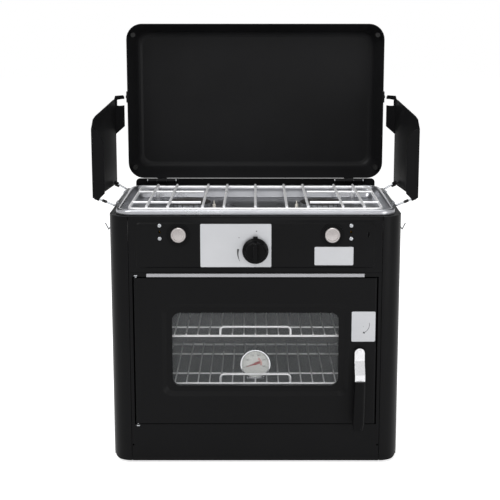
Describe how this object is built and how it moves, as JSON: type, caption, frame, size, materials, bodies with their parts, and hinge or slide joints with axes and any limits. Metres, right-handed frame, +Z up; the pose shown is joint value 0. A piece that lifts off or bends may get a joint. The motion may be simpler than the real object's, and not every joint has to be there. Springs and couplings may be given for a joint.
{
  "type": "folding camp oven",
  "caption": "Two-burner gas camp stove over a small oven, with a glazed door, fold-down lid and side windscreens.",
  "frame": {"origin": "on the ground under the middle of the overall box, lid open", "axes": "+Z up, -Y towards the door and the cook, +X to the cook's right"},
  "size_m": [0.586, 0.411, 0.7872],
  "materials": {
    "black_case": "satin powder coat",
    "black_lid": "satin powder coat",
    "bright_strip": "brushed",
    "rubber": "matte",
    "zinc_steel": "zinc plated",
    "oven_steel": "aluminised",
    "chrome": "polished",
    "dial_white": "satin",
    "glass": "clear tempered",
    "pointer_red": "gloss",
    "aluminium": "cast",
    "brass": "machined",
    "black_plastic": "moulded",
    "plate_silver": "anodised",
    "stainless": "brushed",
    "burner_iron": "blackened",
    "ceramic": "glazed ceramic",
    "seal_rope": "woven glass rope"
  },
  "bodies": {
    "root": {"side_panel_left": "black_case", "side_panel_right": "black_case", "back_panel": "black_case", "base_pan": "black_case", "feet": "rubber", "top_deck": "black_case", "front_frame": "black_case", "control_panel": "black_case", "trim_strip": "bright_strip", "case_screws": "zinc_steel", "oven_liner": "oven_steel", "oven_floor": "oven_steel", "rack_rails": "zinc_steel", "upper_rack": "chrome", "lower_rack": "chrome", "thermometer_case": "zinc_steel", "thermometer_dial": "dial_white", "thermometer_lens": "glass", "oven_burner": "oven_steel", "oven_gas_pipe": "aluminium", "gas_manifold": "aluminium", "burner_valves": "brass", "oven_valve": "brass", "label_plates": "plate_silver", "igniter_bodies": "black_plastic", "gas_inlet": "brass", "inlet_plate": "zinc_steel", "hob_tray": "stainless", "burner_heads": "aluminium", "burner_caps": "burner_iron", "venturi_tubes": "aluminium", "spark_electrodes": "ceramic", "bail_clips": "zinc_steel", "body_hinge_leaves": "black_lid", "lid_hinge_pins": "zinc_steel", "side_hooks": "zinc_steel", "door_hinge_pins": "zinc_steel"},
    "lid": {"lid_pan": "black_lid", "lid_hinge_leaves": "black_lid", "lid_brackets": "black_lid", "lid_bumpers": "rubber"},
    "left_screen": {"windscreen_left": "black_lid", "bail_left": "zinc_steel"},
    "right_screen": {"windscreen_right": "black_lid", "bail_right": "zinc_steel"},
    "door": {"door_outer_panel": "black_case", "door_inner_panel": "black_case", "window_glass": "glass", "door_gasket": "seal_rope", "latch_plate": "plate_silver"},
    "latch": {"door_handle": "chrome", "handle_grip": "black_plastic", "latch_tongue": "zinc_steel"},
    "stem": {"valve_stem": "brass"},
    "knob": {"oven_knob": "black_plastic"},
    "left_button": {"igniter_button_left": "chrome"},
    "right_button": {"igniter_button_right": "chrome"},
    "grate": {"pan_grate": "chrome"},
    "pointer": {"thermometer_pointer": "pointer_red"}
  },
  "joints": [
    {"name": "lid_fold", "type": "hinge", "parent": "root", "child": "lid", "pos_m": [0, 0.1535, 0.473], "axis": [1, 0, 0], "range_deg": [0, 90]},
    {"name": "left_screen_fold", "type": "hinge", "parent": "root", "child": "left_screen", "pos_m": [-0.2525, -0.0155, 0.466], "axis": [0, 1, 0], "range_deg": [0, 90]},
    {"name": "right_screen_fold", "type": "hinge", "parent": "root", "child": "right_screen", "pos_m": [0.2525, -0.0155, 0.466], "axis": [0, -1, 0], "range_deg": [0, 90]},
    {"name": "door_swing", "type": "hinge", "parent": "root", "child": "door", "pos_m": [-0.2125, -0.171, 0.2115], "axis": [0, 0, -1], "range_deg": [0, 110]},
    {"name": "latch_turn", "type": "hinge", "parent": "door", "child": "latch", "pos_m": [0.1862, -0.1735, 0.211], "axis": [0, -1, 0], "range_deg": [0, 90]},
    {"name": "valve_turn", "type": "hinge", "parent": "root", "child": "stem", "pos_m": [0, -0.1735, 0.397], "axis": [0, -1, 0], "range_deg": [0, 135]},
    {"name": "knob_push", "type": "slide", "parent": "stem", "child": "knob", "axis": [0, 1, 0], "range_m": [0, 0.004], "stiffness_N_per_m": 400},
    {"name": "left_button_press", "type": "slide", "parent": "root", "child": "left_button", "axis": [0, 1, 0], "range_m": [0, 0.004], "stiffness_N_per_m": 500},
    {"name": "right_button_press", "type": "slide", "parent": "root", "child": "right_button", "axis": [0, 1, 0], "range_m": [0, 0.004], "stiffness_N_per_m": 500},
    {"name": "grate_lift", "type": "slide", "parent": "root", "child": "grate", "axis": [0, 0, -1], "range_m": [-0.06, 0]},
    {"name": "pointer_turn", "type": "hinge", "parent": "root", "child": "pointer", "pos_m": [0, -0.127, 0.1725], "axis": [0, 1, 0], "range_deg": [0, 220]}
  ]
}
